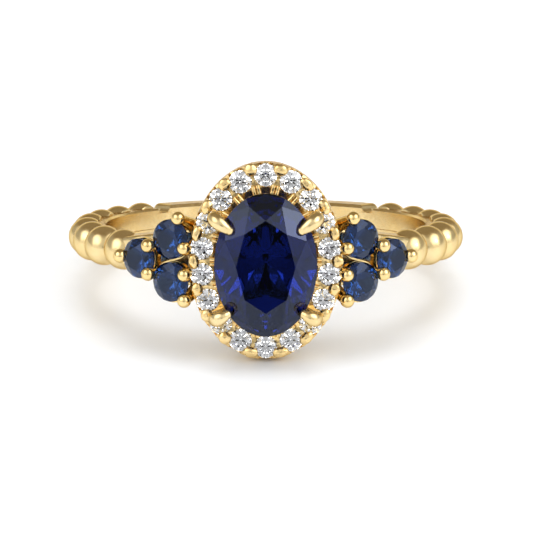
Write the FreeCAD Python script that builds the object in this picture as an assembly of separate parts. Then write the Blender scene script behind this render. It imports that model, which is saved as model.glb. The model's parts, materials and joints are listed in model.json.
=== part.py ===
"""Oval halo engagement ring with beaded shoulders, lying on its side as it rests on a table.

The ring is drawn in its own frame and laid down at the end. In the ring frame the finger passes
along Z, the bore's centre is the origin and the head faces -Y. A place on the band is a radius and
an angle from the head, positive towards +X. A height is the distance from the bore's centre
towards the head, that is -Y. Everything is in millimetres.
"""

import FreeCAD
import Part
import math
import os

from FreeCAD import Matrix, Placement, Rotation, Vector

os.makedirs("parts", exist_ok=True)

# Band
BORE_RADIUS = 8.46
CORE_RADIUS = 9.20
CORE_HALF_WIDTH = 0.70
CORE_EDGE = 0.10
CHANNEL_HALF_WIDTH = 0.42
CHANNEL_DEPTH = 0.10
CHANNEL_START = 44.0
CHANNEL_END = 146.0
BACK_RADIUS = 10.05
BACK_HALF_WIDTH = 0.83
BACK_HALF_ANGLE = 39.6
BACK_ROUND = 0.36
BACK_INNER_ROUND = 0.17
NOTCH_ANGLE = 138.4
NOTCH_ALONG = 0.90
NOTCH_RADIUS = 0.46
SHOULDER_RADIUS = 10.02
SHOULDER_START = 18.5
SHOULDER_END = 46.0
SHOULDER_NEAR_HALF_WIDTH = 1.75
SHOULDER_FAR_HALF_WIDTH = 0.52

# Beaded wires
BEADS = 8
BEAD_CIRCLE = 9.416
BEAD_RADIUS_FIRST = 1.034
BEAD_RADIUS_LAST = 0.989
BEAD_START = 49.73
BEAD_STEP = 11.87
BEAD_INNER_FLAT = 8.86

# Head: heights above the bore's centre
RAIL_BOTTOM = 8.72
RAIL_TOP = 9.26
PLATE_BOTTOM = 9.75
PLATE_TOP = 10.80
HALO_GIRDLE = 10.70
CENTRE_GIRDLE = 12.10
PLATE_OUTER = (3.80, 4.86)
PLATE_INNER = (2.58, 3.65)
PLATE_RIM_BEVEL = 0.10
RAIL_OUTER = (2.85, 3.62)
RAIL_SECTION = 0.60

# Halo stones and the grains that hold them
HALO_STONES = 18
HALO_ELLIPSE = (3.18, 4.25)
HALO_STONE_RADIUS = 0.555
OUTER_GRAIN_RADIUS = 0.235
OUTER_GRAIN_OFFSET = 0.36
OUTER_GRAIN_RISE = 0.04
INNER_PRONG_RADIUS = 0.105
INNER_PRONG_SPACING = 0.23
INNER_PRONG_HEIGHT = 10.82
INNER_PRONG_BEND = 0.84
INNER_PRONG_END = 0.44
INNER_PRONG_CLEARANCE = 0.03
OUTER_SCALLOP_RADIUS = 0.34
INNER_SCALLOP_RADIUS = 0.20

# Centre stone
CENTRE_HALF = (2.50, 3.50)
CENTRE_TABLE = (0.575, 0.645)
CENTRE_CROWN = 0.78
CENTRE_PAVILION = 2.12
CENTRE_GIRDLE_THICKNESS = 0.14

# Claws: the place of each fold, the way it faces in degrees from +Z, and how far it reaches in
CLAWS = {
    "upper": ((2.47, 2.26), 54.0, 1.12),
    "lower": ((2.40, -2.63), 118.0, 0.76),
}
# Offset outward from the fold, height, section radius
CLAW_RISE = (
    (-0.80, 8.90, 0.22),
    (-0.80, 9.90, 0.21),
    (-0.72, 10.70, 0.20),
    (-0.36, 11.40, 0.24),
    (-0.07, 11.88, 0.34),
    (0.00, 12.20, 0.38),
)
CLAW_FOLD = (
    (-0.13, 12.47, 0.38),
    (-0.38, 12.60, 0.34),
    (-0.64, 12.63, 0.27),
    (-0.86, 12.60, 0.19),
    (-0.98, 12.57, 0.09),
)
CLAW_SECTIONS = 24

# Side clusters: angle from the head, place along the finger, tilt of the stone's axis
SIDE_RADIUS = 11.41
SIDE_STONE_RADIUS = 0.985
SIDE_STONES = {
    "upper": (24.15, 1.056, 28.5),
    "lower": (24.15, -1.056, 28.5),
    "outer": (33.34, 0.0, 38.0),
}
SEAT_WALL = 0.13
SEAT_RADIUS = 1.05
SEAT_TOP = 0.20
SEAT_BOTTOM = 0.46
PRONG_TIP_RADIUS = 11.60
PRONG_BASE_RADIUS = 9.85
PRONG_BALL = 0.35
PRONG_WIRE = 0.27
PRONG_LEAN = 4.0
PRONG_GATHER = 0.74
PRONGS = (
    (21.70, 2.12),
    (20.20, 0.66),
    (20.15, -0.66),
    (20.20, -1.93),
    (30.05, 0.68),
    (30.05, -0.71),
    (38.50, 0.06),
)

# Stone proportions as shares of the girdle radius
ROUND_TABLE = (0.58, 0.58)
ROUND_CROWN = 0.30
ROUND_PAVILION = 0.86
ROUND_GIRDLE = 0.07
SEAT_GAP = 0.008
ROOM_SLACK = 0.035

Z_AXIS = Vector(0, 0, 1)
SIDES = {"left": -1, "right": 1}


def at(radius, angle, along=0.0):
    """The point at a radius and angle from the head, and a place along the finger."""
    turn = math.radians(angle)
    return Vector(radius * math.sin(turn), -radius * math.cos(turn), along)


def outward(angle):
    """The unit vector away from the finger at an angle from the head."""
    return at(1.0, angle)


def head_point(across, along, height):
    """A point of the head from its offsets across and along the finger and its height."""
    return Vector(across, -height, along)


def facing(axis, origin, near=Vector(0, 0, 1)):
    """The placement that turns +Z onto an axis and +Y as near as it can to another direction."""
    up = Vector(axis).normalize()
    side = near.cross(up).normalize()
    along = up.cross(side)
    frame = Matrix(side.x, along.x, up.x, origin.x,
                   side.y, along.y, up.y, origin.y,
                   side.z, along.z, up.z, origin.z,
                   0, 0, 0, 1)
    return Placement(frame)


def placed(shape, placement):
    copy = shape.copy()
    copy.Placement = placement.multiply(copy.Placement)
    return copy


def cylinder_along(start, end, radius):
    return Part.makeCylinder(radius, (end - start).Length, start, end - start)


def ball(centre, radius):
    return placed(Part.makeSphere(radius), Placement(centre, Rotation()))


def turned_ring(outline, start, sweep):
    """Revolves a (radius, along) outline about the finger, from an angle measured from the head."""
    points = [Vector(radius, 0, along) for radius, along in outline]
    face = Part.Face(Part.makePolygon(points + points[:1]))
    ring = face.revolve(Vector(0, 0, 0), Z_AXIS, sweep)
    return placed(ring, Placement(Vector(0, 0, 0), Rotation(Z_AXIS, start - 90)))


def largest(shape, count):
    """The largest solids of a shape, without the crumbs that a cut leaves beside them."""
    return sorted(shape.Solids, key=lambda solid: solid.Volume)[-count:]


def mirrored(shape):
    return shape.mirror(Vector(0, 0, 0), Vector(1, 0, 0))


# Gemstones

def plane_of(a, b, c):
    """A plane through three points as its normal and offset."""
    normal = (b - a).cross(c - a).normalize()
    return normal, normal.dot(a)


def meeting_point(first, second, third):
    """The point that three planes share."""
    (n1, d1), (n2, d2), (n3, d3) = first, second, third
    total = n2.cross(n3) * d1 + n3.cross(n1) * d2 + n1.cross(n2) * d3
    return total * (1.0 / n1.dot(n2.cross(n3)))


def polygon_face(points):
    return Part.Face(Part.makePolygon(list(points) + [points[0]]))


def brilliant(half, table, crown, pavilion, girdle, star=0.52, lower=0.22):
    """A brilliant cut stone with its girdle's middle on Z = 0 and its table facing +Z.

    half holds the half width and half length, table the table's share of each, and star and lower
    the heights of the star facets' and lower facets' points as shares of crown and pavilion.
    """
    spread = 1.004 / math.cos(math.pi / 16)
    top = girdle / 2

    def ring_point(step, scale, height):
        turn = step * math.pi / 8
        return Vector(half[0] * scale[0] * math.sin(turn), half[1] * scale[1] * math.cos(turn), height)

    def main_plane(step, apex, height):
        turn = step * math.pi / 8
        tangent = Vector(half[0] * math.cos(turn), -half[1] * math.sin(turn), 0)
        foot = ring_point(step, (spread, spread), height)
        return plane_of(foot, foot + tangent, apex)

    upper_edge = [ring_point(step, (spread, spread), top) for step in range(16)]
    lower_edge = [ring_point(step, (spread, spread), -top) for step in range(16)]
    table_edge = [ring_point(step, table, top + crown) for step in range(0, 16, 2)]
    culet = Vector(0, 0, -top - pavilion)
    star_level = (Vector(0, 0, 1), top + crown * star)
    lower_level = (Vector(0, 0, 1), -top - pavilion * (1 - lower))

    faces = [polygon_face(table_edge)]
    for corner in range(8):
        step, middle, after = 2 * corner, 2 * corner + 1, (2 * corner + 2) % 16
        before = (step - 1) % 16
        kite = main_plane(step, table_edge[corner], top)
        next_kite = main_plane(after, table_edge[(corner + 1) % 8], top)
        last_kite = main_plane((step - 2) % 16, table_edge[corner - 1], top)
        star_point = meeting_point(kite, next_kite, star_level)
        last_star = meeting_point(last_kite, kite, star_level)
        faces.append(polygon_face([table_edge[corner], star_point, upper_edge[step], last_star]))
        faces.append(polygon_face([table_edge[corner], table_edge[(corner + 1) % 8], star_point]))
        faces.append(polygon_face([star_point, upper_edge[middle], upper_edge[step]]))
        faces.append(polygon_face([star_point, upper_edge[after], upper_edge[middle]]))

        main = main_plane(step, culet, -top)
        next_main = main_plane(after, culet, -top)
        last_main = main_plane((step - 2) % 16, culet, -top)
        low_point = meeting_point(main, next_main, lower_level)
        last_low = meeting_point(last_main, main, lower_level)
        faces.append(polygon_face([culet, last_low, lower_edge[step], low_point]))
        faces.append(polygon_face([low_point, lower_edge[step], lower_edge[middle]]))
        faces.append(polygon_face([low_point, lower_edge[middle], lower_edge[after]]))
        for near, far in ((before, step), (step, middle)):
            faces.append(polygon_face([upper_edge[near], upper_edge[far], lower_edge[far], lower_edge[near]]))

    rough = Part.Solid(Part.makeShell(faces))
    if rough.Volume < 0:
        rough.reverse()
    depth = crown + pavilion + girdle
    outline = oval_wire(half, -depth)
    return rough.common(Part.Face(outline).extrude(Vector(0, 0, 2 * depth)))


def round_brilliant(radius):
    return brilliant((radius, radius), ROUND_TABLE, radius * ROUND_CROWN, radius * ROUND_PAVILION,
                     radius * ROUND_GIRDLE)


def stone_room(radius, above):
    """The room that a round stone takes in its setting, open upwards by a height above the girdle."""
    reach = radius + SEAT_GAP
    half_girdle = radius * (ROUND_GIRDLE / 2 + ROOM_SLACK)
    crown = radius * ROUND_CROWN
    table = reach * ROUND_TABLE[0]
    room = Part.makeCylinder(reach, 2 * half_girdle, Vector(0, 0, -half_girdle))
    pavilion = radius * ROUND_PAVILION
    room = room.fuse(Part.makeCone(0.0, reach, pavilion, Vector(0, 0, -half_girdle - pavilion)))
    room = room.fuse(Part.makeCone(reach, table, crown, Vector(0, 0, half_girdle)))
    if above > 0:
        room = room.fuse(Part.makeCylinder(reach, above, Vector(0, 0, half_girdle)))
    return room


# Ovals of the head

def oval_wire(half, level):
    """An oval of two half sizes in a level plane, its longer half size along Y."""
    if abs(half[0] - half[1]) < 1e-9:
        edge = Part.makeCircle(half[0], Vector(0, 0, level))
    else:
        oval = Part.Ellipse(Vector(0, half[1], level), Vector(-half[0], 0, level), Vector(0, 0, level))
        edge = oval.toShape()
    return Part.Wire([edge])


def oval_prism(half, bottom, top):
    """An oval prism of the head between two heights."""
    prism = Part.Face(oval_wire(half, bottom)).extrude(Vector(0, 0, top - bottom))
    return placed(prism, HEAD)


def oval_taper(bottom_half, top_half, bottom, top):
    taper = Part.makeLoft([oval_wire(bottom_half, bottom), oval_wire(top_half, top)], True, True)
    return placed(taper, HEAD)


def halo_turns():
    """The ellipse parameters that space the halo's stones evenly along it, starting at the top."""
    across, along = HALO_ELLIPSE
    steps = 7200
    lengths = [0.0]
    for step in range(steps):
        turn = 2 * math.pi * (step + 0.5) / steps
        speed = math.hypot(across * math.cos(turn), along * math.sin(turn))
        lengths.append(lengths[-1] + speed * 2 * math.pi / steps)
    places = []
    step = 0
    for half_place in range(2 * HALO_STONES):
        target = lengths[-1] * half_place / (2 * HALO_STONES)
        while lengths[step + 1] < target:
            step += 1
        share = (target - lengths[step]) / (lengths[step + 1] - lengths[step])
        places.append(2 * math.pi * (step + share) / steps)
    return places[0::2], places[1::2]


def halo_place(turn, offset, height):
    """A point beside the halo's ellipse, its offset measured outward, and the outward direction."""
    across, along = HALO_ELLIPSE
    point = head_point(across * math.sin(turn), along * math.cos(turn), height)
    away = head_point(along * math.sin(turn), across * math.cos(turn), 0).normalize()
    return point + away * offset, away


HEAD = facing(Vector(0, -1, 0), Vector(0, 0, 0))
HEAD_UP = Vector(0, -1, 0)
STONE_TURNS, GAP_TURNS = halo_turns()


# The band

def make_core():
    """The closed inner band."""
    half, edge = CORE_HALF_WIDTH, CORE_EDGE
    upper = [(BORE_RADIUS, half - edge), (BORE_RADIUS + edge, half), (CORE_RADIUS, half)]
    lower = [(radius, -along) for radius, along in reversed(upper)]
    return turned_ring(upper + lower, 0, 360)


def channel_room():
    """The blank recessed channel in the right half of the inner wall."""
    inside, bottom, wide = BORE_RADIUS - 0.5, BORE_RADIUS + CHANNEL_DEPTH, CHANNEL_HALF_WIDTH
    outline = [(inside, -wide), (bottom, -wide), (bottom, wide), (inside, wide)]
    return turned_ring(outline, CHANNEL_START, CHANNEL_END - CHANNEL_START)


def notch_rooms():
    """The round notches that part the right end of the plain back from the last bead."""
    rooms = []
    for along in (-NOTCH_ALONG, NOTCH_ALONG):
        start = at(BORE_RADIUS - 0.5, NOTCH_ANGLE, along)
        rooms.append(cylinder_along(start, start + outward(NOTCH_ANGLE) * 3.0, NOTCH_RADIUS))
    return rooms


def make_back():
    """The plain back of the shank, rounded outside and at both ends."""
    half, edge = BACK_HALF_WIDTH, BACK_INNER_ROUND
    upper = [(BORE_RADIUS, half - edge), (BORE_RADIUS + edge, half), (BACK_RADIUS, half)]
    lower = [(radius, -along) for radius, along in reversed(upper)]
    back = turned_ring(upper + lower, 180 - BACK_HALF_ANGLE, 2 * BACK_HALF_ANGLE)
    rounded = []
    for side in back.Edges:
        outer_ends = sum(math.hypot(v.X, v.Y) > BACK_RADIUS - 1e-6 for v in side.Vertexes)
        inner_ends = sum(math.hypot(v.X, v.Y) < BORE_RADIUS + 1e-6 for v in side.Vertexes)
        if outer_ends and not inner_ends:
            rounded.append(side)
    return back.makeFillet(BACK_ROUND, rounded)


def make_shoulder():
    """The right shoulder, a piece of ring that narrows from the head to the first bead."""
    outline = [(CORE_RADIUS, -2.0), (SHOULDER_RADIUS, -2.0), (SHOULDER_RADIUS, 2.0), (CORE_RADIUS, 2.0)]
    block = turned_ring(outline, SHOULDER_START, SHOULDER_END - SHOULDER_START)
    near = at(SHOULDER_RADIUS, SHOULDER_START).x - 1.0
    far = at(SHOULDER_RADIUS, SHOULDER_END).x + 1.0
    wedge = polygon_face([
        Vector(near, 0, -SHOULDER_NEAR_HALF_WIDTH),
        Vector(far, 0, -SHOULDER_FAR_HALF_WIDTH),
        Vector(far, 0, SHOULDER_FAR_HALF_WIDTH),
        Vector(near, 0, SHOULDER_NEAR_HALF_WIDTH),
    ]).extrude(Vector(0, -2 * SHOULDER_RADIUS, 0))
    shoulder = block.common(wedge).Solids[0]
    outer_edges = [
        edge for edge in shoulder.Edges
        if abs(math.hypot(edge.CenterOfMass.x, edge.CenterOfMass.y) - SHOULDER_RADIUS) < 0.2
        and abs(edge.CenterOfMass.z) > 0.5
    ]
    return shoulder.makeFillet(0.22, outer_edges).cut(bead_ball(0))


def bead_ball(index):
    share = index / (BEADS - 1)
    radius = BEAD_RADIUS_FIRST + (BEAD_RADIUS_LAST - BEAD_RADIUS_FIRST) * share
    return ball(at(BEAD_CIRCLE, BEAD_START + BEAD_STEP * index), radius)


def make_shank():
    """The closed inner band and its plain back, as one casting."""
    shank = make_core().fuse(make_back()).removeSplitter()
    rooms = [channel_room()] + notch_rooms()
    return shank.cut(rooms + [mirrored(room) for room in rooms])


def make_beaded_wire(shank):
    """The right string of beads, seated on the inner band and flat towards the finger."""
    beads = bead_ball(0).fuse([bead_ball(index) for index in range(1, BEADS)])
    finger = Part.makeCylinder(BEAD_INNER_FLAT, 6.0, Vector(0, 0, -3.0))
    return beads.cut([finger, shank])


# The head

def make_rail(shank, shoulders):
    """The oval rail at the foot of the head, lying over the band."""
    inner = (RAIL_OUTER[0] - RAIL_SECTION, RAIL_OUTER[1] - RAIL_SECTION)
    rail = oval_prism(RAIL_OUTER, RAIL_BOTTOM, RAIL_TOP).cut(oval_prism(inner, RAIL_BOTTOM, RAIL_TOP))
    return rail.cut([shank] + shoulders)


def make_plate(halo_rooms, inner_prongs, claws, shoulders):
    """The oval plate that holds the halo's stones, scalloped between its grains."""
    shoulder_height = PLATE_TOP - PLATE_RIM_BEVEL
    top = (PLATE_OUTER[0] - PLATE_RIM_BEVEL, PLATE_OUTER[1] - PLATE_RIM_BEVEL)
    plate = oval_prism(PLATE_OUTER, PLATE_BOTTOM, shoulder_height)
    plate = plate.fuse(oval_taper(PLATE_OUTER, top, shoulder_height, PLATE_TOP))
    plate = plate.cut(oval_prism(PLATE_INNER, PLATE_BOTTOM - 1, PLATE_TOP + 1))
    cutters = list(halo_rooms)
    for turn in STONE_TURNS:
        centre, away = halo_place(turn, 0, HALO_GIRDLE)
        cutters.append(cylinder_along(centre, centre + away * 1.5, OUTER_SCALLOP_RADIUS))
        cutters.append(cylinder_along(centre, centre - away * 1.5, INNER_SCALLOP_RADIUS))
        cutters.append(cylinder_along(centre, centre - HEAD_UP * 1.5, HALO_STONE_RADIUS / 2))
    return plate.cut(cutters + inner_prongs + claws + shoulders)


def make_outer_grains(halo_rooms):
    """One grain in each gap between halo stones, raised from the plate near its rim."""
    grains = []
    base = -math.degrees(math.asin(OUTER_GRAIN_RISE / OUTER_GRAIN_RADIUS))
    dome = Part.makeSphere(OUTER_GRAIN_RADIUS, Vector(0, 0, 0), Z_AXIS, base, 90, 360)
    for index, turn in enumerate(GAP_TURNS):
        centre, away = halo_place(turn, OUTER_GRAIN_OFFSET, PLATE_TOP + OUTER_GRAIN_RISE)
        neighbours = [halo_rooms[index], halo_rooms[(index + 1) % HALO_STONES]]
        seat = facing(HEAD_UP, centre, away.cross(HEAD_UP))
        grains.append(placed(dome, seat).cut(neighbours))
    return grains


def make_inner_prongs(halo_rooms, claws):
    """Two bent wires in each gap, up the plate's inner wall and over it, but for the claws' places."""
    prongs = []
    for turn in GAP_TURNS:
        centre, away = halo_place(turn, 0, PLATE_BOTTOM)
        aside = away.cross(HEAD_UP) * (INNER_PRONG_SPACING / 2)
        for side in (-1, 1):
            foot = centre - away * INNER_PRONG_BEND + aside * side
            bend = foot + HEAD_UP * (INNER_PRONG_HEIGHT - PLATE_BOTTOM)
            end = bend + away * (INNER_PRONG_BEND - INNER_PRONG_END)
            prong = cylinder_along(foot, bend, INNER_PRONG_RADIUS)
            prong = prong.fuse([ball(bend, INNER_PRONG_RADIUS), cylinder_along(bend, end, INNER_PRONG_RADIUS)])
            if all(prong.distToShape(claw)[0] > INNER_PRONG_CLEARANCE for claw in claws):
                prongs += largest(prong.removeSplitter().cut(halo_rooms), 1)
    return prongs


def make_claw(across_sign, level, centre_stone, shank):
    """One claw, a tapered wire that rises from the rail and folds over the centre stone."""
    (across, along), azimuth, reach = CLAWS[level]
    turn = math.radians(azimuth)
    away = Vector(across_sign * math.sin(turn), 0, math.cos(turn))
    fold = head_point(across_sign * across, along, 0)
    across_fold = away.cross(HEAD_UP)
    stations = [Vector(*station) for station in CLAW_RISE]
    stations += [Vector(offset * reach, height, radius) for offset, height, radius in CLAW_FOLD]
    course = Part.BSplineCurve()
    course.interpolate(stations)
    sections = []
    for step in range(CLAW_SECTIONS + 1):
        place = course.FirstParameter + (course.LastParameter - course.FirstParameter) * step / CLAW_SECTIONS
        offset, height, radius = course.value(place)
        tangent = course.tangent(place)[0]
        centre = fold + away * offset + HEAD_UP * height
        section = Part.Wire([Part.makeCircle(radius)])
        sections.append(placed(section, facing(away * tangent.x + HEAD_UP * tangent.y, centre, across_fold)))
    claw = Part.makeLoft(sections, True, True)
    return claw.cut([centre_stone, shank])


# The side clusters

def cluster_stone_placement(name):
    angle, along, tilt = SIDE_STONES[name]
    return facing(outward(tilt), at(SIDE_RADIUS, angle, along))


def make_cluster_seats(neighbours):
    """Three open gallery rings, one below each stone's girdle, let into the prongs around them."""
    seats = []
    for name in SIDE_STONES:
        ring = Part.makeCylinder(SEAT_RADIUS, SEAT_BOTTOM - SEAT_TOP, Vector(0, 0, -SEAT_BOTTOM))
        hole = Part.makeCylinder(SEAT_RADIUS - SEAT_WALL, 1.0, Vector(0, 0, -SEAT_BOTTOM - 0.3))
        seats.append(placed(ring.cut(hole), cluster_stone_placement(name)))
    return largest(seats[0].fuse(seats[1:]).cut(neighbours), len(seats))


def make_prongs(neighbours):
    """Seven ball tipped wires that rise from the shoulder around the three stones."""
    prongs = []
    for angle, along in PRONGS:
        tip = at(PRONG_TIP_RADIUS, angle, along)
        lean = outward(angle + PRONG_LEAN)
        foot = tip - lean * (PRONG_TIP_RADIUS - PRONG_BASE_RADIUS)
        foot = Vector(foot.x, foot.y, along * PRONG_GATHER)
        wire = cylinder_along(foot, tip, PRONG_WIRE)
        prongs += largest(wire.fuse(ball(tip, PRONG_BALL)).cut(neighbours), 1)
    return prongs


# Laying the ring on the table

def rest_placement(front, back):
    """The turn and shift that lay the ring on Z = 0 with the origin below its middle."""
    toe = Vector(0, -PLATE_BOTTOM, -PLATE_OUTER[1])
    heel = Vector(0, BACK_RADIUS - BACK_ROUND, BACK_ROUND - BACK_HALF_WIDTH)
    reach = heel - toe
    tilt = math.degrees(math.atan2(reach.z, reach.y) - math.asin(BACK_ROUND / reach.Length))
    turn = Placement(Vector(0, 0, 0), Rotation(Vector(1, 0, 0), -tilt))
    floor = turn.multVec(toe).z
    front_end = min(point.y for point in placed(front, turn).tessellate(0.01)[0])
    back_end = max(point.y for point in placed(back, turn).tessellate(0.01)[0])
    shift = Placement(Vector(0, -(front_end + back_end) / 2, -floor), Rotation())
    return shift.multiply(turn)


def save(name, shapes, rest):
    solids = [solid for shape in shapes for solid in placed(shape, rest).Solids]
    Part.makeCompound(solids).exportStep("parts/" + name + ".step")


def main():
    centre_stone = brilliant(CENTRE_HALF, CENTRE_TABLE, CENTRE_CROWN, CENTRE_PAVILION, CENTRE_GIRDLE_THICKNESS)
    centre_stone = placed(centre_stone, facing(HEAD_UP, head_point(0, 0, CENTRE_GIRDLE)))
    shank = make_shank()
    shoulder = make_shoulder()
    parts = {
        "centre_sapphire": [centre_stone],
        "shank": [shank],
        "right_shoulder": [shoulder],
        "right_beaded_wire": [make_beaded_wire(shank)],
    }

    both_shoulders = [shoulder, mirrored(shoulder)]
    claws = {}
    for side, across in SIDES.items():
        for level in CLAWS:
            claws["claw_" + side + "_" + level] = [make_claw(across, level, centre_stone, shank)]
    parts.update(claws)
    claw_shapes = [claw for group in claws.values() for claw in group]
    parts["gallery_rail"] = [make_rail(shank, both_shoulders).cut(claw_shapes)]

    room = stone_room(HALO_STONE_RADIUS, 0.4)
    diamond = round_brilliant(HALO_STONE_RADIUS)
    halo_rooms = []
    for index, turn in enumerate(STONE_TURNS):
        centre, away = halo_place(turn, 0, HALO_GIRDLE)
        seat = facing(HEAD_UP, centre, away)
        halo_rooms.append(placed(room, seat))
        parts["halo_diamond_%02d" % (index + 1)] = [placed(diamond, seat)]
    inner_prongs = make_inner_prongs(halo_rooms, claw_shapes)
    parts["halo_plate"] = [make_plate(halo_rooms, inner_prongs, claw_shapes, both_shoulders)]
    parts["halo_outer_grains"] = make_outer_grains(halo_rooms)
    parts["halo_inner_prongs"] = inner_prongs

    side_stone = round_brilliant(SIDE_STONE_RADIUS)
    side_rooms = []
    for name in SIDE_STONES:
        seat = cluster_stone_placement(name)
        side_rooms.append(placed(stone_room(SIDE_STONE_RADIUS, 0), seat))
        parts["right_sapphire_" + name] = [placed(side_stone, seat)]
    head_block = oval_prism(PLATE_OUTER, PLATE_BOTTOM, PLATE_TOP + 0.1)
    prongs = make_prongs(side_rooms + [shoulder, head_block])
    parts["right_cluster_prongs"] = prongs
    parts["right_cluster_seats"] = make_cluster_seats(side_rooms + [shoulder, head_block] + prongs)

    for name in [name for name in parts if name.startswith("right_")]:
        parts[name.replace("right_", "left_")] = [mirrored(shape) for shape in parts[name]]

    rest = rest_placement(Part.makeCompound([centre_stone] + claw_shapes), shank)
    for name, shapes in parts.items():
        save(name, shapes, rest)


main()
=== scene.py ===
"""The looks of an oval halo engagement ring that lies on its side on a pale table.

The scene is in metres. A place on the ring is given in millimetres in the ring's own frame, where
the finger passes along Z, the bore's centre is the origin and the head faces -Y. ring_point() lays
it down in the row frame, as the CAD model lies.
"""

import json
import math

import bpy
from mathutils import Matrix, Vector


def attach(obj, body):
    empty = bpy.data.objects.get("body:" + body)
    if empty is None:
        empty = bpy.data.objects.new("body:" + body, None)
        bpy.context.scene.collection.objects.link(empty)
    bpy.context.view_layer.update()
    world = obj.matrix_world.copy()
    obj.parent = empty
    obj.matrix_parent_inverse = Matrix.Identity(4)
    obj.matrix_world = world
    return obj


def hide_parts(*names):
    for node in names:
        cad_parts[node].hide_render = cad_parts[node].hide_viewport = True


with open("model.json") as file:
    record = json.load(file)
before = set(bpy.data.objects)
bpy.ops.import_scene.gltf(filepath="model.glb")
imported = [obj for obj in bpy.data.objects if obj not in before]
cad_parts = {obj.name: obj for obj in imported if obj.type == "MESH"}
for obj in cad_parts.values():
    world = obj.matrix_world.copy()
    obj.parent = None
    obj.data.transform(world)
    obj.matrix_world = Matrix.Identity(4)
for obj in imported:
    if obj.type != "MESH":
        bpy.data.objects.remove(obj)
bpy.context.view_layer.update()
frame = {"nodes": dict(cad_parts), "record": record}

MM = 0.001


# The ring's own frame

def ring_matrix():
    """The ring's own frame in the row frame, from the finger bore that the record states."""
    bore = next(mount for mount in frame["record"]["mounts"] if mount["name"] == "finger_bore")
    up = Vector(bore["axis"]).normalized()
    across = Vector((1, 0, 0))
    back = up.cross(across)
    turn = Matrix((across, back, up)).transposed().to_4x4()
    return Matrix.Translation(Vector(bore["pos_m"])) @ turn


RING = ring_matrix()


def ring_point(x, y, z):
    """A point of the row frame from millimetres in the ring's own frame."""
    return RING @ (Vector((x, y, z)) * MM)


def band_point(radius, angle, along=0.0):
    """The point at a radius and an angle in degrees from the head, and a place along the finger."""
    turn = math.radians(angle)
    return Vector((radius * math.sin(turn), -radius * math.cos(turn), along))


def head_point(across, along, height):
    """The point at a place across and along the head, and a height above the bore's centre."""
    return Vector((across, -height, along))


# Node trees

class Tree:
    """A short way to add and join the nodes of a material or a world."""

    def __init__(self, owner):
        owner.use_nodes = True
        self.tree = owner.node_tree
        self.tree.nodes.clear()

    def node(self, kind, **values):
        node = self.tree.nodes.new(kind)
        for name, value in values.items():
            setattr(node, name, value)
        return node

    def join(self, source, target):
        self.tree.links.new(source, target)

    def math(self, operation, first, second):
        """The result of an operation on two values, each linked or plain."""
        node = self.node("ShaderNodeMath", operation=operation)
        for socket, value in zip(node.inputs, (first, second)):
            if isinstance(value, (int, float)):
                socket.default_value = value
            else:
                self.join(value, socket)
        return node.outputs[0]

    def mix(self, factor, first, colour):
        """A colour that goes from a linked one to a plain one with the factor."""
        node = self.node("ShaderNodeMix", data_type="RGBA")
        self.join(factor, node.inputs["Factor"])
        self.join(first, node.inputs[6])
        node.inputs[7].default_value = (*colour, 1)
        return node.outputs[2]

    def ramp(self, factor, stops):
        """Colours between (place, colour) stops, eased from each to the next."""
        node = self.node("ShaderNodeValToRGB")
        node.color_ramp.interpolation = "EASE"
        elements = node.color_ramp.elements
        while len(elements) < len(stops):
            elements.new(0.5)
        for element, (place, colour) in zip(elements, stops):
            element.position = place
            element.color = (*colour, 1)
        self.join(factor, node.inputs[0])
        return node.outputs[0]

    def clouds(self, place, scale, detail):
        """Soft noise over a surface, from 0 to 1."""
        node = self.node("ShaderNodeTexNoise")
        node.inputs["Scale"].default_value = scale
        node.inputs["Detail"].default_value = detail
        self.join(place, node.inputs["Vector"])
        return node.outputs["Fac"]

    def bump(self, height, strength, depth):
        """A bump node for a height, its depth in millimetres."""
        node = self.node("ShaderNodeBump")
        node.inputs["Strength"].default_value = strength
        node.inputs["Distance"].default_value = depth * MM
        self.join(height, node.inputs["Height"])
        return node


def grey(value):
    return (value, value, value)


# Materials

GOLD = (0.92, 0.72, 0.38)
HALO_GOLD = (0.98, 0.73, 0.35)
CLUSTER_GOLD = (0.95, 0.72, 0.34)
GOLD_EDGE = (0.62, 0.50, 0.32)
GOLD_SHADE = (0.97, 0.94, 0.86)
GOLD_CLOUDS_SCALE = 900
GLOSS_RANGE = (0.75, 1.35)
MARKS_SCALE = 5200
MARKS_STRENGTH = 0.15
MARKS_DEPTH = 0.004
DENTS_SCALE = 4200
HALO_DENTS = 0.035

CENTRE_BLUE = (0.0012, 0.0040, 0.055)
CENTRE_SHEEN = (0.40, 0.46, 0.66)
SIDE_BLUE = (0.003, 0.014, 0.06)
SIDE_SHEEN = (0.42, 0.52, 0.80)
SAPPHIRE_INDEX = 1.77
COLOURLESS = (0.97, 0.98, 1.0)
DIAMOND_SHEEN = (1, 1, 1)
DIAMOND_INDEX = 2.42
ZONES_SCALE = 260
ZONES_SHADE = 0.8

TABLE_TINTS = ((0.87, 0.89, 0.92), (0.89, 0.91, 0.94))
TABLE_CLOUDS_SCALE = 30
TABLE_ROUGHNESS = 0.35
TABLE_SPECULAR = 0.3


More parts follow.
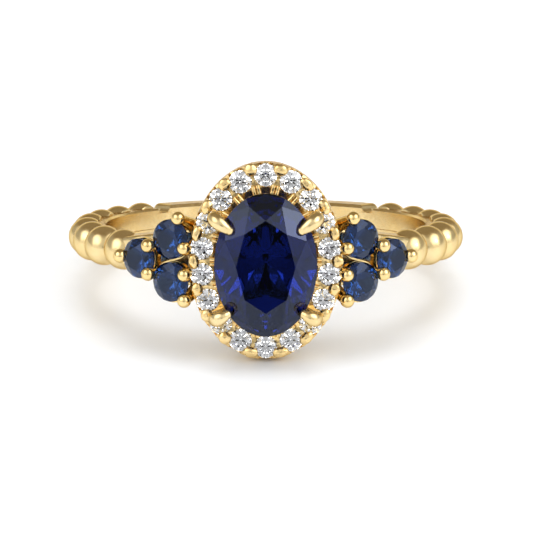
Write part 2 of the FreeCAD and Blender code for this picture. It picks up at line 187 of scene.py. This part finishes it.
def gold(name, colour, roughness, dents_depth=0.0):
    """Polished 14 karat gold, its colour and gloss a little uneven, with fine polishing marks.

    Metal that a jeweller worked with a graver also has soft dents, their depth in millimetres.
    """
    material = bpy.data.materials.new(name)
    nodes = Tree(material)
    output = nodes.node("ShaderNodeOutputMaterial")
    shader = nodes.node("ShaderNodeBsdfPrincipled")
    shader.inputs["Metallic"].default_value = 1.0
    shader.inputs["Specular Tint"].default_value = (*GOLD_EDGE, 1)
    nodes.join(shader.outputs[0], output.inputs["Surface"])
    place = nodes.node("ShaderNodeTexCoord").outputs["Object"]

    deeper = tuple(channel * share for channel, share in zip(colour, GOLD_SHADE))
    cloud = nodes.clouds(place, GOLD_CLOUDS_SCALE, 3)
    nodes.join(nodes.ramp(cloud, [(0.35, deeper), (0.65, colour)]), shader.inputs["Base Color"])

    marks = nodes.clouds(place, MARKS_SCALE, 4)
    smoother, rougher = (grey(roughness * share) for share in GLOSS_RANGE)
    nodes.join(nodes.ramp(marks, [(0.3, smoother), (0.7, rougher)]), shader.inputs["Roughness"])

    surface = nodes.bump(marks, MARKS_STRENGTH, MARKS_DEPTH)
    if dents_depth:
        dents = nodes.node("ShaderNodeTexVoronoi", feature="SMOOTH_F1")
        dents.inputs["Scale"].default_value = DENTS_SCALE
        nodes.join(place, dents.inputs["Vector"])
        worked = nodes.bump(dents.outputs["Distance"], 1.0, dents_depth)
        nodes.join(worked.outputs["Normal"], surface.inputs["Normal"])
    nodes.join(surface.outputs["Normal"], shader.inputs["Normal"])
    return material


def gem(name, colour, index, sheen):
    """A clear faceted stone, its body colour a little uneven as grown crystal is."""
    material = bpy.data.materials.new(name)
    nodes = Tree(material)
    output = nodes.node("ShaderNodeOutputMaterial")
    shader = nodes.node("ShaderNodeBsdfPrincipled")
    shader.inputs["Transmission Weight"].default_value = 1.0
    shader.inputs["IOR"].default_value = index
    shader.inputs["Roughness"].default_value = 0.0
    shader.inputs["Specular Tint"].default_value = (*sheen, 1)
    nodes.join(shader.outputs[0], output.inputs["Surface"])
    place = nodes.node("ShaderNodeTexCoord").outputs["Object"]

    darker = tuple(channel * ZONES_SHADE for channel in colour)
    zones = nodes.clouds(place, ZONES_SCALE, 2)
    nodes.join(nodes.ramp(zones, [(0.35, darker), (0.65, colour)]), shader.inputs["Base Color"])
    return material


def tabletop():
    """A smooth pale tabletop with a faint cloudiness."""
    material = bpy.data.materials.new("table")
    nodes = Tree(material)
    output = nodes.node("ShaderNodeOutputMaterial")
    shader = nodes.node("ShaderNodeBsdfPrincipled")
    shader.inputs["Roughness"].default_value = TABLE_ROUGHNESS
    shader.inputs["Specular IOR Level"].default_value = TABLE_SPECULAR
    nodes.join(shader.outputs[0], output.inputs["Surface"])
    place = nodes.node("ShaderNodeTexCoord").outputs["Object"]

    darker, paler = TABLE_TINTS
    cloud = nodes.clouds(place, TABLE_CLOUDS_SCALE, 2)
    nodes.join(nodes.ramp(cloud, [(0.3, darker), (0.7, paler)]), shader.inputs["Base Color"])
    return material


MATERIALS = {
    "shank_gold": gold("shank_gold", GOLD, 0.2),
    "bead_gold": gold("bead_gold", GOLD, 0.2),
    "shoulder_gold": gold("shoulder_gold", GOLD, 0.2),
    "rail_gold": gold("rail_gold", GOLD, 0.14),
    "halo_gold": gold("halo_gold", HALO_GOLD, 0.22, HALO_DENTS),
    "claw_gold": gold("claw_gold", GOLD, 0.2),
    "cluster_gold": gold("cluster_gold", CLUSTER_GOLD, 0.12),
    "centre_sapphire": gem("centre_sapphire", CENTRE_BLUE, SAPPHIRE_INDEX, CENTRE_SHEEN),
    "side_sapphire": gem("side_sapphire", SIDE_BLUE, SAPPHIRE_INDEX, SIDE_SHEEN),
    "diamond": gem("diamond", COLOURLESS, DIAMOND_INDEX, DIAMOND_SHEEN),
}


def dress_frame():
    """Gives every CAD node the finished material of its slot."""
    for part in frame["record"]["subparts"]:
        node = frame["nodes"][part["node"]]
        for slot in node.material_slots:
            slot.material = MATERIALS[part["material_slot"]]


dress_frame()


# Skins, in millimetres

CORNER_SOFTNESS = 0.012
TIP_STEPS = 8
TIP_END_RADIUS = 0.002
CLAW_SEGMENTS = 28
PRONG_SEGMENTS = 24
SHARP_ANGLE = 50


def add_piece(name, shape, slot_name, replaced):
    """A piece from ring-frame millimetres that stands for a CAD node and takes its gold."""
    vertices, faces = shape
    mesh = bpy.data.meshes.new(name)
    mesh.from_pydata([ring_point(*vertex) for vertex in vertices], [], faces)
    mesh.validate()
    mesh.shade_smooth()
    mesh.materials.append(MATERIALS[slot_name])
    piece = bpy.data.objects.new(name, mesh)
    bpy.context.scene.collection.objects.link(piece)
    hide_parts(replaced)
    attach(piece, "root")
    return piece


def cut_by(piece, nodes):
    """Takes the room of other solids out of a piece, so that it only touches them."""
    for node in nodes:
        cut = piece.modifiers.new("cut", "BOOLEAN")
        cut.operation = "DIFFERENCE"
        cut.solver = "EXACT"
        cut.object = frame["nodes"][node]
    bpy.context.view_layer.update()
    evaluated = piece.evaluated_get(bpy.context.evaluated_depsgraph_get())
    finished = bpy.data.meshes.new_from_object(evaluated)
    piece.modifiers.clear()
    piece.data = finished
    finished.shade_smooth()
    finished.set_sharp_from_angle(angle=math.radians(SHARP_ANGLE))


def circle_turns(count):
    """Equally spaced angles round a circle, in radians."""
    return [2 * math.pi * index / count for index in range(count)]


def closed_tube(rings):
    """A closed skin over rings of equally many points, its two ends drawn to their middles."""
    count = len(rings[0])
    vertices = [point for ring in rings for point in ring]
    faces = []
    for row in range(len(rings) - 1):
        for column in range(count):
            after = (column + 1) % count
            first, second = row * count, (row + 1) * count
            faces.append((first + column, first + after, second + after, second + column))
    for ring, row, forward in ((rings[0], 0, False), (rings[-1], len(rings) - 1, True)):
        middle = len(vertices)
        vertices.append(sum(ring, Vector()) / count)
        for column in range(count):
            pair = (row * count + column, row * count + (column + 1) % count)
            faces.append((middle, *pair) if forward else (middle, *reversed(pair)))
    return vertices, faces


def joined(shapes):
    """Several skins as one."""
    vertices, faces = [], []
    for more_vertices, more_faces in shapes:
        start = len(vertices)
        vertices += more_vertices
        faces += [tuple(start + index for index in face) for face in more_faces]
    return vertices, faces


def smooth_course(stations, steps):
    """Values along a Catmull-Rom curve through the stations."""
    values = []
    last = len(stations) - 1
    for span in range(last):
        corners = [stations[min(max(span + k, 0), last)] for k in (-1, 0, 1, 2)]
        for step in range(steps):
            t = step / steps
            values.append(tuple(
                0.5 * (
                    2 * b
                    + (c - a) * t
                    + (2 * a - 5 * b + 4 * c - d) * t * t
                    + (3 * b - a - 3 * c + d) * t ** 3
                )
                for a, b, c, d in zip(*corners)
            ))
    values.append(tuple(stations[-1]))
    return values


def swept(stations, across, segments):
    """A round bar over (centre, radius) stations in a plane square to across, its last end rounded."""
    end, radius = stations[-1]
    forward = (end - stations[-2][0]).normalized()
    rounded = list(stations)
    for step in range(1, TIP_STEPS + 1):
        turn = math.pi / 2 * step / TIP_STEPS
        narrowed = max(radius * math.cos(turn), TIP_END_RADIUS)
        rounded.append((end + forward * radius * math.sin(turn), narrowed))
    rings = []
    for index, (centre, radius) in enumerate(rounded):
        before = rounded[max(index - 1, 0)][0]
        after = rounded[min(index + 1, len(rounded) - 1)][0]
        beside = across.cross((after - before).normalized())
        rings.append([
            centre + (across * math.cos(turn) + beside * math.sin(turn)) * radius
            for turn in circle_turns(segments)
        ])
    return closed_tube(rings)


def soft_max(values):
    """The largest of some lengths, with the corner between two of them rounded off."""
    top = max(values)
    share = sum(math.exp((value - top) / CORNER_SOFTNESS) for value in values)
    return top + CORNER_SOFTNESS * math.log(share)


# Beaded wires, in millimetres and degrees

BEADS = 8
BEAD_CIRCLE = 9.416
FIRST_BEAD_RADIUS = 1.034
LAST_BEAD_RADIUS = 0.989
BEAD_START = 49.73
BEAD_STEP = 11.87
BEAD_INNER_FLAT = 8.86
WIRE_NECK = 0.40
WIRE_BEFORE = 6.0
WIRE_BEYOND = 6.2
WIRE_ROWS = 300
WIRE_COLUMNS = 56


def beaded_wire(side):
    """Eight beads run together as one casting, flat on the side of the finger."""
    start = BEAD_START - WIRE_BEFORE
    end = BEAD_START + BEAD_STEP * (BEADS - 1) + WIRE_BEYOND
    rings = []
    for row in range(WIRE_ROWS + 1):
        angle = start + (end - start) * row / WIRE_ROWS
        sections = [WIRE_NECK]
        middles = [0.0]
        for index in range(BEADS):
            share = index / (BEADS - 1)
            radius = FIRST_BEAD_RADIUS + (LAST_BEAD_RADIUS - FIRST_BEAD_RADIUS) * share
            away = math.radians(angle - BEAD_START - BEAD_STEP * index)
            reach = BEAD_CIRCLE * math.sin(away)
            sections.append(math.sqrt(max(radius ** 2 - reach ** 2, 0.0)))
            middles.append(math.cos(away) - 1 if sections[-1] > 0 else 0.0)
        section = soft_max(sections)
        middle = BEAD_CIRCLE * (1 + middles[sections.index(max(sections))])
        ring = []
        for turn in circle_turns(WIRE_COLUMNS):
            radius = soft_max([middle + section * math.cos(turn), BEAD_INNER_FLAT])
            ring.append(band_point(radius, side * angle, section * math.sin(turn)))
        rings.append(ring if side > 0 else ring[::-1])
    return closed_tube(rings)


# Claws, in millimetres

# For each, the fold's place across and along the head, the way out from the stone in degrees from
# the finger's direction, and the stretch of the folded part
CLAWS = {
    "upper": ((2.47, 2.26), 54.0, 1.12),
    "lower": ((2.40, -2.63), 118.0, 0.76),
}
# The offset out from the fold, the height above the bore's centre, and the radius
CLAW_RISE = (
    (-0.80, 8.90, 0.22),
    (-0.80, 9.90, 0.21),
    (-0.72, 10.70, 0.20),
    (-0.36, 11.40, 0.24),
    (-0.07, 11.88, 0.34),
    (0.00, 12.20, 0.38),
)
CLAW_FOLD = (
    (-0.13, 12.47, 0.38),
    (-0.38, 12.58, 0.34),
    (-0.62, 12.60, 0.28),
    (-0.80, 12.58, 0.23),
)
CLAW_STEPS = 8


def claw(side, level):
    """A claw that rises beside the stone and folds over its edge, thick at the fold."""
    (across, along), azimuth, reach = CLAWS[level]
    turn = math.radians(azimuth)
    away = Vector((side * math.sin(turn), 0, math.cos(turn)))
    fold = head_point(side * across, along, 0)
    up = Vector((0, -1, 0))
    course = list(CLAW_RISE)
    course += [(offset * reach, height, radius) for offset, height, radius in CLAW_FOLD]
    stations = [
        (fold + away * offset + up * height, radius)
        for offset, height, radius in smooth_course(course, CLAW_STEPS)
    ]
    return swept(stations, away.cross(up), CLAW_SEGMENTS)


# Cluster prongs, in millimetres and degrees

PRONG_TIP_RADIUS = 11.60
PRONG_BASE_RADIUS = 9.85
PRONG_BALL = 0.35
PRONG_WIRE = 0.27
PRONG_FLARE = 0.35
PRONG_LEAN = 4.0
PRONG_GATHER = 0.74
PRONG_STEPS = 40
# The tips' angles from the head and places along the finger
PRONGS = (
    (21.70, 2.12),
    (20.20, 0.66),
    (20.15, -0.66),
    (20.20, -1.93),
    (30.05, 0.68),
    (30.05, -0.71),
    (38.50, 0.06),
)


def prong(side, angle, along):
    """A wire that rises from the shoulder to a ball over the stones' edges."""
    tip = band_point(PRONG_TIP_RADIUS, side * angle, along)
    lean = band_point(1.0, side * (angle + PRONG_LEAN))
    foot = tip - lean * (PRONG_TIP_RADIUS - PRONG_BASE_RADIUS)
    foot.z = along * PRONG_GATHER
    rise = tip - foot
    length = rise.length
    forward = rise.normalized()
    stations = []
    for step in range(PRONG_STEPS):
        reach = length * step / PRONG_STEPS
        ball = math.sqrt(max(PRONG_BALL ** 2 - (length - reach) ** 2, 0.0))
        wire = PRONG_WIRE * (1 + PRONG_FLARE - PRONG_FLARE * step / PRONG_STEPS)
        stations.append((foot + forward * reach, soft_max([ball, wire])))
    stations.append((tip, PRONG_BALL))
    return swept(stations, forward.orthogonal().normalized(), PRONG_SEGMENTS)


# Halo nuggets, in millimetres

HALO_STONES = 18
HALO_ELLIPSE = (3.18, 4.25)
HALO_STEPS = 7200
PLATE_TOP = 10.80
NUGGET_HALF = (0.36, 0.29, 0.17)
NUGGET_OFFSET = 0.35
NUGGET_SINK = 0.02
NUGGET_TWIST = 0.25
NUGGET_VARY = (0.12, 0.10)
# The steps in radians that spread the nuggets' sizes and twists unevenly
NUGGET_SIZE_STEP = 7.3
NUGGET_TWIST_STEP = 3.1
NUGGET_ROWS = 14
NUGGET_COLUMNS = 20


def halo_gaps():
    """The ellipse parameters of the gaps between evenly spaced stones, the first stone at the top."""
    across, along = HALO_ELLIPSE
    lengths = [0.0]
    for step in range(HALO_STEPS):
        turn = 2 * math.pi * (step + 0.5) / HALO_STEPS
        stretch = math.hypot(across * math.cos(turn), along * math.sin(turn))
        lengths.append(lengths[-1] + stretch)
    gaps = []
    step = 0
    for stone in range(HALO_STONES):
        target = lengths[-1] * (2 * stone + 1) / (2 * HALO_STONES)
        while lengths[step + 1] < target:
            step += 1
        share = (target - lengths[step]) / (lengths[step + 1] - lengths[step])
        gaps.append(2 * math.pi * (step + share) / HALO_STEPS)
    return gaps


def halo_place(turn, offset, height):
    """A point beside the halo's ellipse, its offset measured outward, and the outward direction."""
    across, along = HALO_ELLIPSE
    away = Vector((along * math.sin(turn), 0, across * math.cos(turn))).normalized()
    return head_point(across * math.sin(turn), along * math.cos(turn), height) + away * offset, away


def ellipsoid(centre, axes):
    """A rounded nugget over three half axes."""
    first, second, third = axes
    rings = []
    for row in range(1, NUGGET_ROWS):
        fall = math.pi * row / NUGGET_ROWS
        rings.append([
            centre + third * math.cos(fall)
            + (first * math.cos(turn) + second * math.sin(turn)) * math.sin(fall)
            for turn in circle_turns(NUGGET_COLUMNS)
        ])
    vertices, faces = closed_tube(rings)
    vertices[-2] = centre + third
    vertices[-1] = centre - third
    return vertices, faces


def nuggets():
    """A flattened nugget of raised metal in each outer gap of the halo, each a little different."""
    along, across, high = NUGGET_HALF
    vary_along, vary_across = NUGGET_VARY
    up = Vector((0, -1, 0))
    shapes = []
    for index, turn in enumerate(halo_gaps()):
        centre, away = halo_place(turn, NUGGET_OFFSET, PLATE_TOP - NUGGET_SINK)
        vary = math.sin(NUGGET_SIZE_STEP * index)
        twist = NUGGET_TWIST * math.sin(NUGGET_TWIST_STEP * index)
        away = Matrix.Rotation(twist, 3, up) @ away
        axes = (
            away.cross(up) * along * (1 + vary_along * vary),
            away * across * (1 - vary_across * vary),
            up * high,
        )
        shapes.append(ellipsoid(centre, axes))
    return joined(shapes)


# The pieces that stand in for CAD nodes

for word, side in (("left", -1), ("right", 1)):
    add_piece(word + "_beads", beaded_wire(side), "bead_gold", word + "_beaded_wire")
    for level in CLAWS:
        name = "claw_" + word + "_" + level
        piece = add_piece(name + "_wire", claw(side, level), "claw_gold", name)
        cut_by(piece, ["centre_sapphire"])
    piece = add_piece(
        word + "_prongs",
        joined([prong(side, angle, along) for angle, along in PRONGS]),
        "cluster_gold",
        word + "_cluster_prongs",
    )
    cut_by(piece, [word + "_sapphire_" + place for place in ("upper", "lower", "outer")])
piece = add_piece("halo_nuggets", nuggets(), "halo_gold", "halo_outer_grains")
cut_by(piece, ["halo_diamond_%02d" % number for number in range(1, HALO_STONES + 1)])


# The studio

# Over the ring from the back to the front: 0 is the horizon behind it, 0.5 is straight above it
# and 1 is the horizon on the camera's side
SWEEP = [
    (0.00, grey(1.40)),
    (0.07, grey(1.20)),
    (0.15, (0.30, 0.25, 0.18)),
    (0.52, (0.27, 0.22, 0.15)),
    (0.62, (0.40, 0.37, 0.32)),
    (0.72, grey(0.72)),
    (0.82, grey(0.72)),
    (0.92, grey(0.70)),
    (1.00, grey(0.80)),
]
# Round patches of light and shade in the tent: azimuth, elevation, the angles from there at which
# the patch is whole and gone, and its colour
LOBES = [
    (-62, 36, 10, 38, grey(2.20)),
    (68, 36, 12, 40, grey(2.60)),
    (66, 31.5, 4, 8, grey(5.50)),
    (-50, 4, 6, 24, grey(1.0)),
    (50, 4, 6, 24, grey(1.0)),
    (-105, 4, 18, 45, grey(0.45)),
    (105, 4, 18, 45, grey(0.45)),
]
CAMERA_GAP = (0, 6, 4, 11, grey(0.05))
# The heights of a direction at which the pale band along the horizon is gone and whole
HORIZON = (0.12, 0.06)
HORIZON_COLOUR = grey(0.90)

# Place in metres, size and power
FILLS = {
    "left_fill": ((-0.6, 0.0, 0.6), 0.9, 0.4),
    "right_fill": ((0.6, 0.0, 0.6), 0.9, 0.4),
    "back_fill": ((0.0, 0.5, 0.8), 0.6, 1.6),
    "top_fill": ((0.0, 0.0, 0.9), 0.5, 3.0),
}
FILL_COLOUR = (0.91, 0.95, 1.0)
# Azimuth and elevation
SPARKLES = {
    "left_sparkle": (-34, 30),
    "right_sparkle": (34, 30),
    "far_left_sparkle": (-72, 24),
    "far_right_sparkle": (72, 24),
    "high_sparkle": (0, 48),
    "top_sparkle": (0, 80),
    "back_sparkle": (180, 50),
}
SPARKLE_DISTANCE = 0.5
SPARKLE_SIZE = 0.16
SPARKLE_POWER = 0.6
SPARKLE_COLOUR = (1, 1, 1)

TABLE_REACH = 3.0
# Places in the ring's own frame
CAMERA_PLACE = (0.04, -138.65, 17.11)
CAMERA_TARGET = (0.04, 0, -1.71)
CAMERA_SENSOR = 36.0
CAMERA_LENS = 177.8
CAMERA_CLIP = 0.01


def towards(azimuth, elevation):
    """A unit vector from an azimuth to the right of the front and an elevation, in degrees."""
    across, up = math.radians(azimuth), math.radians(elevation)
    return (math.sin(across) * math.cos(up), -math.cos(across) * math.cos(up), math.sin(up))


def smooth_range(nodes, value, gone, whole):
    """A factor that rises smoothly from 0 to 1 as a linked value goes from one number to another."""
    node = nodes.node("ShaderNodeMapRange", interpolation_type="SMOOTHSTEP")
    nodes.join(value, node.inputs["Value"])
    node.inputs["From Min"].default_value = gone
    node.inputs["From Max"].default_value = whole
    return node.outputs["Result"]


def lit_by(nodes, ray, tint, azimuth, elevation, inner, outer, colour):
    """The tint with a round patch of another colour in it, soft from its inner to its outer angle."""
    dot = nodes.node("ShaderNodeVectorMath", operation="DOT_PRODUCT")
    nodes.join(ray, dot.inputs[0])
    dot.inputs[1].default_value = towards(azimuth, elevation)
    gone, whole = math.cos(math.radians(outer)), math.cos(math.radians(inner))
    return nodes.mix(smooth_range(nodes, dot.outputs["Value"], gone, whole), tint, colour)


def studio_world():
    """A white tent: softboxes high on both sides, a brown ceiling behind, the camera's dark gap."""
    world = bpy.data.worlds.new("studio")
    bpy.context.scene.world = world
    nodes = Tree(world)
    output = nodes.node("ShaderNodeOutputWorld")
    background = nodes.node("ShaderNodeBackground")
    nodes.join(background.outputs[0], output.inputs["Surface"])
    ray = nodes.node("ShaderNodeTexCoord").outputs["Generated"]
    direction = nodes.node("ShaderNodeSeparateXYZ")
    nodes.join(ray, direction.inputs[0])
    y, z = direction.outputs["Y"], direction.outputs["Z"]
    sweep = nodes.math("DIVIDE", nodes.math("ARCTAN2", z, y), math.pi)
    tint = nodes.ramp(sweep, SWEEP)
    for lobe in LOBES:
        tint = lit_by(nodes, ray, tint, *lobe)
    tint = nodes.mix(smooth_range(nodes, z, *HORIZON), tint, HORIZON_COLOUR)
    tint = lit_by(nodes, ray, tint, *CAMERA_GAP)
    nodes.join(tint, background.inputs["Color"])


def softbox(name, place, size, power, colour):
    """A square light that faces the ring."""
    light = bpy.data.lights.new(name, "AREA")
    light.shape = "RECTANGLE"
    light.size = size
    light.size_y = size
    light.energy = power
    light.color = colour
    holder = bpy.data.objects.new(name, light)
    bpy.context.scene.collection.objects.link(holder)
    holder.location = place
    holder.rotation_mode = "QUATERNION"
    holder.rotation_quaternion = (Vector((0, 0, 0)) - Vector(place)).to_track_quat("-Z", "Y")
    return holder


def make_fills():
    """Broad lights for the table and its shadows, hidden from reflections and from the stones."""
    for name, (place, size, power) in FILLS.items():
        fill = softbox(name, place, size, power, FILL_COLOUR)
        fill.visible_glossy = False
        fill.visible_transmission = False


def make_sparkles():
    """Small lights that are seen only through the stones."""
    for name, (azimuth, elevation) in SPARKLES.items():
        place = Vector(towards(azimuth, elevation)) * SPARKLE_DISTANCE
        sparkle = softbox(name, place, SPARKLE_SIZE, SPARKLE_POWER, SPARKLE_COLOUR)
        sparkle.visible_glossy = False
        sparkle.visible_diffuse = False


def make_table():
    """A wide flat tabletop below the ring."""
    mesh = bpy.data.meshes.new("table")
    corners = [(x * TABLE_REACH, y * TABLE_REACH, 0) for x, y in ((-1, -1), (1, -1), (1, 1), (-1, 1))]
    mesh.from_pydata(corners, [], [(0, 1, 2, 3)])
    table = bpy.data.objects.new("table", mesh)
    bpy.context.scene.collection.objects.link(table)
    mesh.materials.append(tabletop())


def make_camera():
    """A long lens that looks a little down at the head."""
    camera = bpy.data.cameras.new("camera")
    camera.sensor_width = CAMERA_SENSOR
    camera.lens = CAMERA_LENS
    camera.clip_start = CAMERA_CLIP
    holder = bpy.data.objects.new("camera", camera)
    bpy.context.scene.collection.objects.link(holder)
    place = ring_point(*CAMERA_PLACE)
    target = ring_point(*CAMERA_TARGET)
    holder.location = place
    holder.rotation_mode = "QUATERNION"
    holder.rotation_quaternion = (target - place).to_track_quat("-Z", "Y")
    bpy.context.scene.camera = holder


studio_world()
make_fills()
make_sparkles()
make_table()
make_camera()
bpy.context.scene.view_settings.view_transform = "Standard"
